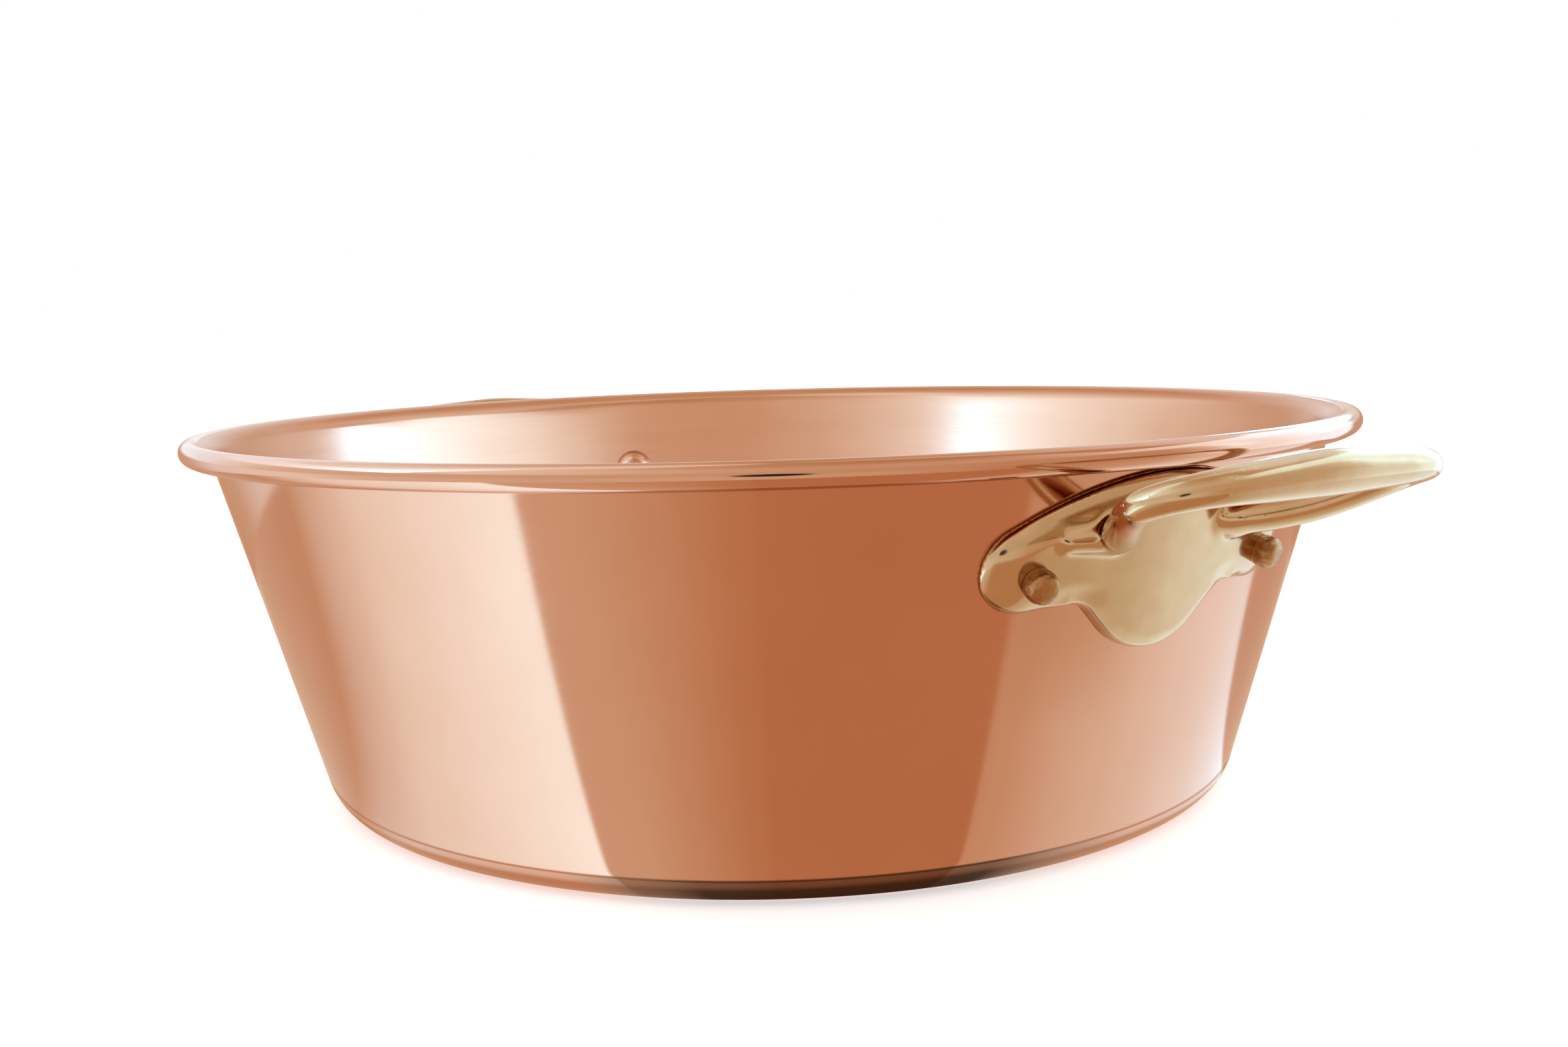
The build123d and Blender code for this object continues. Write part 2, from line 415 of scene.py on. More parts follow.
def hammering_tree():
    """Geometry Nodes that flatten a head into facets, as a hammer does, each square to its own way out."""
    tree, sockets, given = geometry_tree("hammer_facets", {
        "Head": "Geometry", "Middle Height": "Float", "Seat Height": "Float", "Facet Width": "Float",
        "Facet Depth": "Float", "Seed": "Float"}, "Hammered")
    middle = add(tree, "ShaderNodeCombineXYZ", {"Z": given["Middle Height"]})
    place = add(tree, "GeometryNodeInputPosition")
    arm = vector_maths(tree, "SUBTRACT", place, middle)
    reach = vector_maths(tree, "LENGTH", arm).outputs["Value"]
    way = vector_maths(tree, "NORMALIZE", arm)
    scale = maths(tree, "DIVIDE", 1.0, given["Facet Width"])
    cell = add(tree, "ShaderNodeTexVoronoi", {"Vector": arm, "W": given["Seed"], "Scale": scale},
               voronoi_dimensions="4D")
    aim = vector_maths(tree, "NORMALIZE", cell.outputs["Position"])
    facing = vector_maths(tree, "DOT_PRODUCT", way, aim).outputs["Value"]
    flat = maths(tree, "DIVIDE", maths(tree, "SUBTRACT", reach, given["Facet Depth"]), facing)
    cut = maths(tree, "MINIMUM", flat, reach)
    height = add(tree, "ShaderNodeSeparateXYZ", {"Vector": place}).outputs["Z"]
    above = maths(tree, "ADD", given["Seat Height"], facet_full * MM)
    free = add(tree, "ShaderNodeMapRange", {
        "Value": height, "From Min": given["Seat Height"], "From Max": above})
    upright = add(tree, "ShaderNodeSeparateXYZ", {"Vector": way}).outputs["Z"]
    end_free = add(tree, "ShaderNodeMapRange", {
        "Value": upright, "From Min": facet_fade[0], "From Max": facet_fade[1], "To Min": 1.0,
        "To Max": facet_left})
    struck = maths(tree, "MULTIPLY", free, end_free)
    kept = add(tree, "ShaderNodeMix", {0: struck, 2: reach, 3: cut}, data_type="FLOAT")
    moved = vector_maths(tree, "SCALE", way, Scale=kept)
    spot = vector_maths(tree, "ADD", middle, moved)
    shaped = add(tree, "GeometryNodeSetPosition", {"Geometry": given["Head"], "Position": spot})
    real = add(tree, "GeometryNodeRealizeInstances", {"Geometry": shaped})
    add(tree, "NodeGroupOutput", {"Hammered": real})
    return tree, sockets


def wall_place(across, height, half_turn):
    """Turns a piece on its own axis to stand square on the wall, on the right or half round on the left."""
    radius = wall_radius(height)
    turn = asin(across / radius)
    outward = Vector((cos(turn) * cos(lean), sin(turn) * cos(lean), -sin(lean)))
    level = Vector((-sin(turn), cos(turn), 0.0))
    steep = outward.cross(level)
    spot = Vector((radius * cos(turn), across, height)) * MM
    place = Matrix((level, steep, outward)).transposed().to_4x4()
    place.translation = spot
    return Matrix.Rotation(pi if half_turn else 0.0, 4, "Z") @ place


def rivet(name, across, half_turn, seed):
    """A rivet, turned on the lathe, closed with a hammer and set in the wall."""
    points, second_from = rivet_section()
    made = turned_piece(name, points, second_from, 96, inner_head_copper, rivet_metal)
    hammer = made.modifiers.new("hammer", "NODES")
    hammer.node_group = hammering
    lengths = {"Middle Height": outer_seat + facet_middle, "Seat Height": outer_seat,
               "Facet Width": facet_width, "Facet Depth": facet_depth}
    for label, length in lengths.items():
        hammer[hammering_sockets[label]] = length * MM
    hammer[hammering_sockets["Seed"]] = seed
    baked(made, rivet_sharp)
    made.data.transform(wall_place(across, pan_height - rivet_drop, half_turn))
    return made


# Handle, in the sizes of the solid: plate, then loop
plate_rim_gap = 0.6
lobe_radius = 11.6
lobe_offset_across = 1.5
lobe_offset_up = 1.8
notch_radius = 8.5
notch_spacing = 55.0
notch_drop = 40.4
tongue_radius = 22.0
tongue_drop = 54.9
loop_width = 90.2
loop_reach = 45.6
loop_rise = 16.3
loop_root_drop = 22.4
loop_root_sink = 2.5
grip_height = 11.2
grip_thickness = 10.0
# Half of the loop's middle line, from root to grip: across, out and up, as shares of its three sizes
loop_path_shares = [(0.45, 0.0, 0.0), (0.64, 0.255, 0.1), (0.865, 0.478, 0.356), (1.0, 0.725, 0.712),
                    (0.894, 0.904, 0.892), (0.502, 0.984, 0.972), (0.0, 1.0, 1.0)]
# Half thickness and half height of the bar at the same places, as shares of the grip's
loop_sizes = [(1.1, 0.79), (0.95, 0.77), (0.82, 0.72), (0.88, 0.69), (0.98, 0.7), (1.04, 0.875), (1.0, 1.0)]
# Points on the loop's whole line, how many of them its sizes are smoothed over to each side, and how many
# are kept past the grip's middle
loop_points = 241
loop_smoothing = 12
loop_overlap = 6
# Toe that runs out from each root along the plate: off its face, across, up from the root, and radius, at its
# two ends
toe = [(1.0, 21.5, -1.0, 4.1), (-0.2, 33.0, -1.5, 2.2)]
toe_blend = 3.0
# Bevel that the mould and the polishing give the plate's edge at its top, lobes and tongue: how far down the
# side, how far in over the face, and how round where it meets the face
top_edge = (4.1, 3.5, 5.0)
lobe_edge = (3.2, 3.2, 2.6)
tongue_edge = (1.3, 1.7, 1.2)
# Height over which the lobes' bevel turns into the top's, and height and place across for the tongue's
top_edge_from = 93.0
top_edge_over = 9.0
tongue_edge_below = 84.0
tongue_edge_within = 36.0
tongue_edge_over = 6.0
side_rounding = 1.2
back_edge_radius = 0.8
root_blend = 4.0
# Cell of the net that the casting's surface is drawn with, and the room round its box
handle_cell = 0.6
net_margin = 2.0


def crossing_tangent(centre, radius, other, other_radius, turn):
    """Angles on two circles where a line touches both and crosses between them."""
    between = np.subtract(other, centre)
    spread = acos((radius + other_radius) / np.hypot(*between))
    angle = atan2(between[1], between[0]) + turn * spread
    return angle, angle + pi


def on_circle(centre, radius, angle):
    return (centre[0] + radius * cos(angle), centre[1] + radius * sin(angle))


class PlateOutline:
    """The plate's outline across and up, as arcs and straight runs that meet smoothly."""

    def __init__(self):
        top = pan_height - 2 * curl_outside - plate_rim_gap
        lobe = (rivet_spacing / 2 + lobe_offset_across, pan_height - rivet_drop + lobe_offset_up)
        notch = (notch_spacing / 2, pan_height - notch_drop - notch_radius)
        tongue = (0.0, pan_height - tongue_drop + tongue_radius)
        fall = top - lobe[1]
        top_radius = (lobe[0]**2 + fall**2 - lobe_radius**2) / (2 * (fall - lobe_radius))
        top_centre = (0.0, top - top_radius)
        lobe_top = atan2(lobe[1] - top_centre[1], lobe[0])
        notch_out, lobe_low = crossing_tangent(notch, notch_radius, lobe, lobe_radius, 1)
        tongue_side, notch_in = crossing_tangent(tongue, tongue_radius, notch, notch_radius, -1)
        # Centre, radius, middle of its angles, half their span, and 1 where the plate is on the centre's side
        self.arcs = []
        for centre, radius, first, last, side in (
                (top_centre, top_radius, lobe_top, pi - lobe_top, 1),
                (lobe, lobe_radius, lobe_low, lobe_top, 1),
                (notch, notch_radius, notch_out, notch_in, -1),
                (tongue, tongue_radius, -pi - tongue_side, tongue_side, 1)):
            span = (last - first) % (2 * pi)
            self.arcs.append((centre, radius, first + span / 2, span / 2, side))
        self.runs = [
            (on_circle(lobe, lobe_radius, lobe_low), on_circle(notch, notch_radius, notch_out)),
            (on_circle(notch, notch_radius, notch_in), on_circle(tongue, tongue_radius, tongue_side))]

    def distance(self, across, up):
        """Distance to the outline, less than nothing inside it."""
        across = np.abs(across)
        best = np.full(across.shape, 1e9)
        for centre, radius, middle, half, side in self.arcs:
            x, y = across - centre[0], up - centre[1]
            turn = (np.arctan2(y, x) - middle + pi) % (2 * pi) - pi
            off = (np.hypot(x, y) - radius) * side
            nearer = (np.abs(turn) <= half + 1e-9) & (np.abs(off) < np.abs(best))
            best = np.where(nearer, off, best)
        for (x0, y0), (x1, y1) in self.runs:
            length = hypot(x1 - x0, y1 - y0)
            ahead = ((x1 - x0) / length, (y1 - y0) / length)
            along = (across - x0) * ahead[0] + (up - y0) * ahead[1]
            off = (across - x0) * -ahead[1] + (up - y0) * ahead[0]
            nearer = (along >= -1e-9) & (along <= length + 1e-9) & (np.abs(off) < np.abs(best))
            best = np.where(nearer, off, best)
        return best


def smooth_spline(places, start, end, samples):
    """Points on a smooth line through the places, how far along it each is, and how far the places are."""
    places = np.array(places)
    steps = np.linalg.norm(np.diff(places, axis=0), axis=1)
    count = len(places)
    matrix = np.zeros((count, count))
    wanted = np.zeros((count, 3))
    matrix[0, 0] = matrix[-1, -1] = 1.0
    wanted[0], wanted[-1] = start, end
    for i in range(1, count - 1):
        before, after = steps[i - 1], steps[i]
        matrix[i, i - 1:i + 2] = after, 2 * (before + after), before
        slopes = (places[i] - places[i - 1]) * after / before + (places[i + 1] - places[i]) * before / after
        wanted[i] = 3 * slopes
    speeds = np.linalg.solve(matrix, wanted)
    knots = np.concatenate([[0.0], np.cumsum(steps)])
    at = np.linspace(0.0, knots[-1], samples)
    piece = np.clip(np.searchsorted(knots, at) - 1, 0, count - 2)
    t = ((at - knots[piece]) / steps[piece])[:, None]
    step = steps[piece][:, None]
    line = ((2 * t**3 - 3 * t**2 + 1) * places[piece] + (t**3 - 2 * t**2 + t) * step * speeds[piece]
            + (3 * t**2 - 2 * t**3) * places[piece + 1] + (t**3 - t**2) * step * speeds[piece + 1])
    return line, at / knots[-1], knots / knots[-1]


def loop_line():
    """The loop's middle line from a root to past the grip's middle, its length so far and its half sizes."""
    height = pan_height - loop_root_drop
    face = wall_radius(height) + (seat_gap + plate_thickness) / cos(lean)
    root = loop_path_shares[0][0] * loop_width / 2
    start = face * cos(asin(root / face)) - loop_root_sink
    reach = face + loop_reach - start
    half = [(start + out * reach, across * loop_width / 2, height + up * loop_rise)
            for across, out, up in loop_path_shares]
    other = [(x, -y, z) for x, y, z in half[-2::-1]]
    line, at, knots = smooth_spline(half + other, (1, 0, 0), (-1, 0, 0), loop_points)
    sizes = []
    window = np.hanning(2 * loop_smoothing + 1)
    window /= window.sum()
    for part, grip in ((0, grip_thickness), (1, grip_height)):
        shares = [s[part] for s in loop_sizes]
        size = np.interp(at, knots, shares + shares[-2::-1]) * grip / 2
        sizes.append(np.convolve(np.pad(size, loop_smoothing, mode="edge"), window, mode="valid"))
    keep = loop_points // 2 + loop_overlap
    line, wide, tall = line[:keep], sizes[0][:keep], sizes[1][:keep]
    gone = np.concatenate([[0.0], np.cumsum(np.linalg.norm(np.diff(line, axis=0), axis=1))])
    return line, gone, wide, tall


def blended(a, b, reach):
    """The nearer of two distances, rounded where they are alike."""
    near = np.maximum(reach - np.abs(a - b), 0.0) / reach
    return np.minimum(a, b) - near**3 * reach / 6


def rounded_corner(a, b, radius):
    """The farther of two distances, with the edge between them rounded."""
    over = np.sqrt(np.maximum(a + radius, 0.0)**2 + np.maximum(b + radius, 0.0)**2)
    return np.minimum(np.maximum(a, b), -radius) + over


def round_cone(points, a, ra, b, rb):
    """Distance from a bar with round ends that tapers from one radius to another."""
    a, b = np.array(a), np.array(b)
    along = b - a
    length = np.linalg.norm(along)
    along /= length
    lean_in = (ra - rb) / length
    upright = (1 - lean_in**2)**0.5
    off = points - a
    up = off @ along
    out = np.sqrt(np.maximum((off**2).sum(1) - up**2, 0.0))
    low_end = np.hypot(out, up) - ra
    high_end = np.hypot(out, up - length) - rb
    side = out * upright + up * lean_in - ra
    foot = up * upright - out * lean_in
    return np.where(foot < 0, low_end, np.where(foot > length * upright, high_end, side))


class Casting:
    """Distance from the surface of the right handle, as one smooth casting. Its two halves are alike."""

    def __init__(self):
        self.outline = PlateOutline()
        self.line, self.gone, self.wide, self.tall = loop_line()
        ahead = np.gradient(self.line, axis=0)
        self.ahead = ahead / np.linalg.norm(ahead, axis=1)[:, None]
        level = np.cross((0.0, 0.0, 1.0), self.ahead)
        self.level = level / np.linalg.norm(level, axis=1)[:, None]
        self.toe = []
        for off, across, up, radius in toe:
            height = pan_height - loop_root_drop + up
            out = wall_radius(height) + (seat_gap + plate_thickness) / cos(lean) + off
            self.toe += [(out * cos(asin(across / out)), across, height), radius]

    def loop(self, points):
        best = np.full(len(points), 1e9)
        index = np.zeros(len(points), int)
        for i, place in enumerate(self.line):
            gap = ((points - place)**2).sum(1)
            nearer = gap < best
            best[nearer] = gap[nearer]
            index[nearer] = i
        shift = ((points - self.line[index]) * self.ahead[index]).sum(1)
        at = np.clip(self.gone[index] + shift, 0.0, self.gone[-1])
        centre, level, ahead = (np.stack([np.interp(at, self.gone, values[:, i]) for i in range(3)], 1)
                                for values in (self.line, self.level, self.ahead))
        tall_way = np.cross(ahead, level)
        across = ((points - centre) * level).sum(1)
        up = ((points - centre) * tall_way).sum(1)
        wide, tall = np.interp(at, self.gone, self.wide), np.interp(at, self.gone, self.tall)
        size = np.sqrt((across / wide)**2 + (up / tall)**2) + 1e-6
        steep = np.sqrt((across / wide**2)**2 + (up / tall**2)**2) + 1e-6
        before = np.maximum(-(self.gone[index] + shift), 0.0)
        off = (size - 1) * size / steep
        return np.where(before > 1e-6, np.hypot(np.maximum(off, 0.0), before), off)

    def plate(self, points, off_wall):
        across, up = points[:, 1], points[:, 2]
        high = np.clip((up - top_edge_from) / top_edge_over, 0, 1)
        low = np.clip((tongue_edge_below - up) / tongue_edge_over, 0, 1)
        low *= np.clip((tongue_edge_within - across) / tongue_edge_over, 0, 1)
        shares = [share**2 * (3 - 2 * share) for share in (high, low)]
        drop, inset, rounding = (lobe + (top - lobe) * shares[0] + (tongue - lobe) * shares[1]
                                 for top, lobe, tongue in zip(top_edge, lobe_edge, tongue_edge))
        edge = self.outline.distance(across, up)
        face = off_wall - seat_gap - plate_thickness
        bevel = (edge * drop + face * inset + inset * drop) / np.hypot(drop, inset)
        return rounded_corner(rounded_corner(edge, bevel, side_rounding), face, rounding)

    def __call__(self, points):
        points = np.abs(points)
        radius = np.hypot(points[:, 0], points[:, 1])
        off_wall = (radius - base_diameter / 2 - points[:, 2] * tan(lean)) * cos(lean)
        bar = blended(self.loop(points), round_cone(points, *self.toe), toe_blend)
        whole = blended(self.plate(points, off_wall), bar, root_blend)
        return rounded_corner(whole, seat_gap - off_wall, back_edge_radius)


def onto(field, points):
    """Points pulled onto the field's zero surface, and the way out of it there."""
    step = 0.01
    for _ in range(2):
        value = field(points)
        way = np.stack([field(points + step * axis) - field(points - step * axis) for axis in np.eye(3)], 1)
        way /= 2 * step
        points = points - value[:, None] * way / (way**2).sum(1)[:, None]
    return points, way / np.linalg.norm(way, axis=1)[:, None]


def grid_values(field, low, counts, cell, block):
    """The field on a grid, worked out only in the blocks that its surface may cross."""
    values = np.zeros(counts)
    mask = np.zeros(counts, bool)
    starts = [np.arange(0, n - 1, block) for n in counts]
    blocks = np.stack(np.meshgrid(*starts, indexing="ij"), -1).reshape(-1, 3)
    rough = field(low + (blocks + block / 2) * cell)
    # More than half a block's diagonal, with room for a field that is steeper than a distance
    reach = block * cell * 1.3
    for (i, j, k), value in zip(blocks, rough):
        here = (slice(i, i + block + 1), slice(j, j + block + 1), slice(k, k + block + 1))
        if abs(value) < reach:
            mask[here] = True
        values[here] = np.where(mask[here], values[here], np.sign(value) * reach)
    values[mask] = field(low + np.argwhere(mask) * cell)
    return values


def netted(field, low, high, cell, block=5):
    """Even quads on a field's zero surface: one point in each cell that it crosses, then pulled onto it."""
    low = np.array(low)
    counts = [int(np.ceil((b - a) / (cell * block))) * block + 1 for a, b in zip(low, high)]
    values = grid_values(field, low, counts, cell, block)
    inside = values < 0
    cells = tuple(n - 1 for n in counts)
    total = np.zeros(cells + (3,))
    crossings = np.zeros(cells)
    corners = [(i, j, k) for i in (0, 1) for j in (0, 1) for k in (0, 1)]
    for a in corners:
        for axis in range(3):
            if a[axis]:
                continue
            b = tuple(c + (n == axis) for n, c in enumerate(a))
            va = values[tuple(slice(c, c + n) for c, n in zip(a, cells))]
            vb = values[tuple(slice(c, c + n) for c, n in zip(b, cells))]
            cut = (va < 0) != (vb < 0)
            share = np.where(cut, va / np.where(cut, va - vb, 1.0), 0.0)
            for n in range(3):
                total[..., n] += cut * (a[n] + (share if n == axis else 0.0))
            crossings += cut
    used = crossings > 0
    number = np.full(cells, -1)
    number[used] = np.arange(used.sum())
    points = low + (np.argwhere(used) + total[used] / crossings[used][:, None]) * cell
    faces = []
    for axis in range(3):
        one, two = (axis + 1) % 3, (axis + 2) % 3
        first = inside[tuple(slice(None, -1) if n == axis else slice(1, -1) for n in range(3))]
        second = inside[tuple(slice(1, None) if n == axis else slice(1, -1) for n in range(3))]
        for leaving, turn in ((first & ~second, 1), (~first & second, -1)):
            at = np.argwhere(leaving)
            at[:, one] += 1
            at[:, two] += 1
            ring = []
            for back_one, back_two in ((1, 1), (0, 1), (0, 0), (1, 0))[::turn]:
                spot = at.copy()
                spot[:, one] -= back_one
                spot[:, two] -= back_two
                ring.append(number[tuple(spot.T)])
            faces.append(np.stack(ring, 1))
    points, ways = onto(field, points)
    return points, ways, np.concatenate(faces)


def cast_handle(name, half_turn, points, ways, faces):
    """The casting on the right, or turned half round to the left, with the field's ways out as normals."""
    turned = np.array((-1.0, -1.0, 1.0) if half_turn else (1.0, 1.0, 1.0))
    made = mesh_object(name, points * turned, faces=faces.tolist())
    made.data.polygons.foreach_set("use_smooth", [True] * len(faces))
    made.data.normals_split_custom_set_from_vertices((ways * turned).tolist())
    made.data.materials.append(bronze)
    return made


def dress(piece, slot, *nodes):
    """The piece rides with the pan and stands for the nodes, which it hides. Its slot is not used."""
    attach(piece, "root")
    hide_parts(*nodes)


def emission(name, attribute):
    """Light in the colour that an attribute gives."""
    made, tree = material(name)
    colour = add(tree, "ShaderNodeAttribute", attribute_name=attribute).outputs["Color"]
    finished(tree, add(tree, "ShaderNodeEmission", {"Color": colour, "Strength": 1.0}))
    return made


# Studio. Angles are degrees round the pan from the camera's side, and more is to the camera's right.
# Each stop has an angle and a tone, where 1 is white paper in plain light.
low_stops = [
    (-180, 1.0), (-165, 0.95), (-150, 0.76), (-128, 0.68), (-115, 0.8), (-100, 1.1), (-88, 1.2), (-74, 1.25),
    (-60, 1.1), (-31, 1.0), (-5, 0.97), (15, 0.92), (32, 0.8), (48, 0.82), (58, 0.86), (66, 1.15), (72, 1.4),
    (92, 1.5), (113, 1.35), (116, 0.75), (130, 0.66), (150, 0.76), (165, 0.95), (180, 1.0)]
wall_stops = [
    (-177, 0.96), (-164, 0.945), (-152, 1.04), (-139, 1.18), (-128, 1.21), (-117, 1.3), (-105, 1.38),
    (-94, 1.45), (-84, 1.58), (-72, 1.8), (-59, 2.4), (-58, 1.28), (-51, 1.26), (-40, 1.19), (-28, 1.1),
    (-16, 1.0), (-5, 0.96), (6, 0.91), (43, 0.91), (49, 0.98), (60, 1.24), (72, 1.4), (83, 1.52), (94, 1.63),
    (105, 1.75), (116, 1.7), (122, 1.2), (130, 0.95), (163, 0.95), (177, 0.98)]
mid_stops = [
    (-180, 0.8), (-164, 0.9), (-152, 1.0), (-139, 1.08), (-128, 1.12), (-117, 1.2), (-105, 1.25), (-94, 1.2),
    (-84, 1.1), (-66, 1.02), (-50, 1.0), (-31, 0.95), (-5, 0.9), (15, 0.84), (32, 0.8), (52, 0.8), (60, 0.84),
    (66, 1.05), (72, 1.6), (80, 1.45), (94, 1.6), (105, 1.7), (113, 1.6), (119, 0.9), (140, 0.88),
    (151, 1.06), (163, 1.02), (180, 0.9)]
high_stops = [
    (-180, 0.8), (-150, 0.95), (-120, 1.2), (-94, 1.3), (-72, 1.55), (-59, 1.85), (-57, 1.27), (-51, 1.26),
    (-40, 1.19), (-28, 1.1), (-16, 1.0), (-5, 0.96), (6, 0.91), (43, 0.91), (49, 0.98), (57, 1.05), (63, 0.8),
    (78, 0.8), (90, 1.1), (105, 1.15), (140, 1.1), (163, 0.9), (180, 0.8)]
ceiling_stops = [
    (-180, 0.78), (-110, 1.1), (-75, 1.35), (-50, 1.15), (-30, 0.92), (-5, 0.8), (40, 0.72), (75, 0.72),
    (100, 1.05), (125, 0.9), (150, 0.8), (180, 0.78)]
table_stops = [
    (-180, 0.9), (-150, 0.86), (-135, 0.76), (-125, 0.8), (-115, 0.83), (-106, 0.83), (-98, 1.04),
    (-88, 1.27), (-74, 1.4), (-59, 1.53), (-52.5, 1.57), (-51.5, 0.95), (-40, 0.94), (-25, 0.86),
    (-10, 0.765), (-6, 0.755), (-3, 0.725), (22, 0.715), (51.5, 0.72), (52.5, 0.88), (58, 0.9), (75, 1.06),
    (92, 1.21), (104, 1.24), (113, 1.26), (114, 0.81), (135, 0.74), (150, 0.86), (180, 0.9)]
# Part of the tone that is left on the table farther out
far_stops = [(50, 1.0), (56, 0.9), (74, 0.88), (84, 1.0)]
# Softbox behind the pan on the left, which only the inside of the wall mirrors
rear_stops = [(111, 1.8), (126, 2.1), (142, 2.1)]
rear_rings = [(446, 190), (446, 300)]
# Powers of a tone in its green and its blue, below and above plain light, as copper and as bronze show them
copper_powers = ((2.55, 4.0), (1.95, 2.65))
bronze_powers = ((1.85, 3.0), (1.95, 2.65))
# Rows of softboxes and screens, then the ceiling: radius, height, stops and powers
room_rings = [
    (450, 0, low_stops, copper_powers), (450, 125, low_stops, copper_powers),
    (450, 150, mid_stops, bronze_powers), (450, 270, mid_stops, bronze_powers),
    (450, 300, wall_stops, copper_powers), (450, 400, wall_stops, copper_powers),
    (450, 425, high_stops, copper_powers), (450, 470, high_stops, copper_powers),
    (330, 700, ceiling_stops, bronze_powers), (1, 850, ceiling_stops, bronze_powers)]
# Rings of the glowing cards on the table, which paint its light in reflections: radius, share of the light
# left near the foot, which paints the pan's shadow there, and 1 where they are far out
table_rings = [
    (142, 0.05, 0), (149, 0.12, 0), (151.5, 0.33, 0), (154, 0.38, 0), (154.6, 0.14, 0), (155.4, 0.14, 0),
    (156.6, 1.0, 0), (205, 1.0, 0), (250, 1.0, 1), (450, 1.0, 1)]
# Angles between which the far table is lit as bronze shows it, for the handle
far_bronze = (53, 86)
# How much of the foot's painted shadow turns from black to brown, round the sides
brown_stops = [
    (-180, 1.0), (-64, 1.0), (-52.5, 0.42), (-51.5, 0.35), (-30, 0.0), (62, 0.0), (88, 1.0), (180, 1.0)]
# Tone of the brown painted shadow: how much it falls in full shade, and the power that keeps it to the
# darkest rings
brown_fall = 0.4
brown_power = 4
# Greatest tone in full shade, and how much more there may be in full light
shade_tone = 0.95
shade_tone_rise = 0.65
table_lift = 0.3
table_pivot = 109.0
angle_step = 0.5
lens_place = (446.0, 142.0)
lens_radius = 42.0
lens_sides = 32
lens_share = 0.03
# Light that the white paper adds where it is seen, so that only the pan's close shadow shows on it
floor_glow = 0.5
floor_half = 6000.0


def light_colour(tone, powers, share=1.0):
    """Linear colour of a light by its tone: a dim one is warm and a strong one cool, as film shows metals."""
    green, blue = powers[tone > 1]
    return (share * tone, share * tone**green, share * tone**blue, 1.0)


def tone_at(stops, angle):
    return float(np.interp(angle, *zip(*stops)))


def glowing(piece, colours, name):
    """Light of a given colour at each corner, seen only in reflections."""
    glow = piece.data.attributes.new("glow", "FLOAT_COLOR", "POINT")
    glow.data.foreach_set("color", np.array(colours, np.float32).ravel())
    piece.data.materials.append(emission(name, "glow"))
    piece.visible_camera = False
    piece.visible_diffuse = False
    piece.visible_shadow = False


def fan_cards(name, rings, angles, colours, light, lift=0.0, pivot=0.0):
    """Cards between rings of a radius and a height, cut along lines that spread from one point."""
    middle = Vector((cos(camera_side), sin(camera_side))) * pivot
    points = []
    for radius, height in rings:
        for angle in angles:
            side = camera_side + radians(angle)
            ray = Vector((cos(side), sin(side)))
            along = -middle.dot(ray) + (radius**2 - middle.length_squared + middle.dot(ray)**2)**0.5
            end = middle + ray * along
            points.append((end.x, end.y, height + lift))
    count = len(angles)
    faces = []
    for ring in range(len(rings) - 1):
        faces += [(ring * count + i, (ring + 1) * count + i, (ring + 1) * count + i + 1, ring * count + i + 1)
                  for i in range(count - 1)]
    glowing(mesh_object(name, points, faces=faces), colours, light)


def studio_room():
    """Softboxes, screens and cards round the pan, over it and on the table, which only reflections see. The
    cards on the table glow with the table's painted light, and near the foot with the pan's painted shadow.
    """
    angles = np.arange(-180.0, 180.1, angle_step)
    colours = [light_colour(tone_at(stops, angle), powers)
               for _, _, stops, powers in room_rings for angle in angles]
    places = [(radius, height) for radius, height, _, _ in room_rings]
    fan_cards("studio_wall", places, angles, colours, "softbox_light")
    rear = np.arange(rear_stops[0][0], rear_stops[-1][0] + 0.1, angle_step)
    colours = [light_colour(tone_at(rear_stops, angle), copper_powers) for _ in rear_rings for angle in rear]
    fan_cards("rear_softbox", rear_rings, rear, colours, "rear_light")
    # Cards on the table: painted light of the table, darkened near the foot as the pan's painted shadow
    colours = []
    for _, share, far in table_rings:
        for angle in angles:
            tone = min(tone_at(table_stops, angle), shade_tone + shade_tone_rise * share)
            if far:
                tone *= tone_at(far_stops, angle)
            brown = tone_at(brown_stops, angle)
            tone *= 1 - brown_fall * brown * (1 - share)**brown_power
            powers = bronze_powers if far and far_bronze[0] < angle < far_bronze[1] else copper_powers
            colours.append(light_colour(tone, powers, share + (1 - share) * brown))
    places = [(radius, 0.0) for radius, _, _ in table_rings]
    fan_cards("table_painted_light", places, angles, colours, "card_light", table_lift, table_pivot)


def lens_card():
    """Dark round front of the camera's lens, which the rim mirrors."""
    out, height = lens_place
    ahead = Vector((cos(camera_side), sin(camera_side), 0.0))
    level = Vector((-ahead.y, ahead.x, 0.0))
    points = [ahead * out + Vector((0, 0, height))]
    for i in range(lens_sides):
        angle = 2 * pi * i / lens_sides
        points.append(points[0] + level * lens_radius * cos(angle) + Vector((0, 0, lens_radius * sin(angle))))
    faces = [(0, i + 1, (i + 1) % lens_sides + 1) for i in range(lens_sides)]
    colours = [light_colour(1.0, copper_powers, lens_share)] * len(points)
    glowing(mesh_object("lens_card", points, faces=faces), colours, "lens_glass")


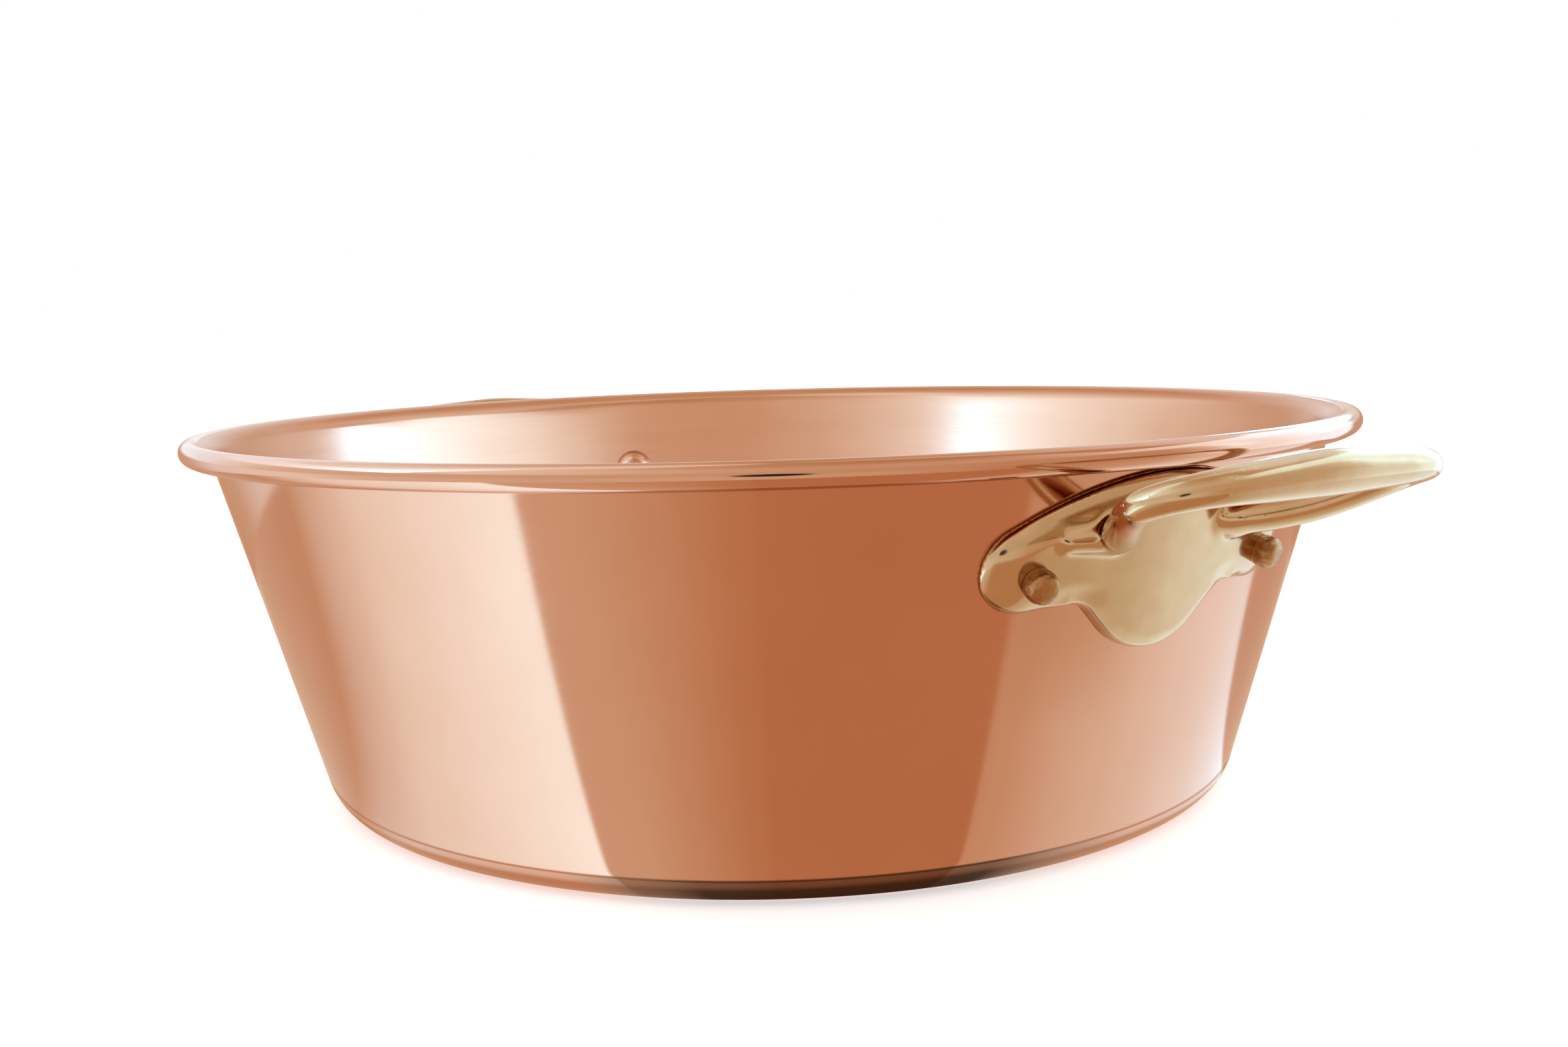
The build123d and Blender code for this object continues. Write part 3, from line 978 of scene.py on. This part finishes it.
def white_studio():
    """White floor and an even white room, so that a colour shows about as it is written."""
    world = bpy.data.worlds.new("white_room")
    bpy.context.scene.world = world
    world.use_nodes = True
    world.node_tree.nodes.clear()
    sky = add(world.node_tree, "ShaderNodeBackground", {"Color": (1.0, 1.0, 1.0, 1.0), "Strength": 1.0})
    add(world.node_tree, "ShaderNodeOutputWorld", {"Surface": sky})
    corners = [(x * floor_half, y * floor_half, 0) for x, y in ((-1, -1), (1, -1), (1, 1), (-1, 1))]
    floor = mesh_object("floor", corners, faces=[(0, 1, 2, 3)])
    paint, tree = material("white_paper")
    light = add(tree, "ShaderNodeLightPath").outputs
    seen = maths(tree, "ADD", light["Is Camera Ray"], light["Is Glossy Ray"])
    through = maths(tree, "ADD", seen, light["Is Transmission Ray"])
    lit = maths(tree, "MULTIPLY", through, floor_glow)
    glow = add(tree, "ShaderNodeEmission", {"Strength": lit})
    paper = add(tree, "ShaderNodeBsdfDiffuse", {"Color": linear("#FCFCFC")})
    finished(tree, add(tree, "ShaderNodeAddShader", {0: paper, 1: glow}))
    floor.data.materials.append(paint)


studio_camera()
bpy.context.scene.view_settings.view_transform = "Standard"
outside_copper = polished_copper()
inside_copper = brushed_copper()
bronze = cast_bronze()
rivet_metal = hammered_rivet_metal()
inner_head_copper = planished_copper()
steel = drawn_steel()
turning, turning_sockets = turning_tree()
hammering, hammering_sockets = hammering_tree()

section, crest = sheet_section()
pan = baked(turned_piece("copper_pan", section, crest, 360, outside_copper, inside_copper))
dress(pan, "copper", "pan_body")

low, high = (np.array(corner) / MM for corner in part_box("right_handle"))
casting = netted(Casting(), low - net_margin, high + net_margin, handle_cell)
for side, half_turn in (("right", False), ("left", True)):
    handle = cast_handle("bronze_handle_" + side, half_turn, *casting)
    dress(handle, "bronze", side + "_handle")
for seed, (node, side, half_turn) in enumerate((
        ("right_front_rivet", -1, False), ("right_back_rivet", 1, False),
        ("left_front_rivet", -1, True), ("left_back_rivet", 1, True))):
    dress(rivet("hammered_" + node, side * rivet_spacing / 2, half_turn, seed + 0.5), "rivet_copper", node)
nodes["rim_wire"].data.materials.clear()
nodes["rim_wire"].data.materials.append(steel)

white_studio()
studio_room()
lens_card()
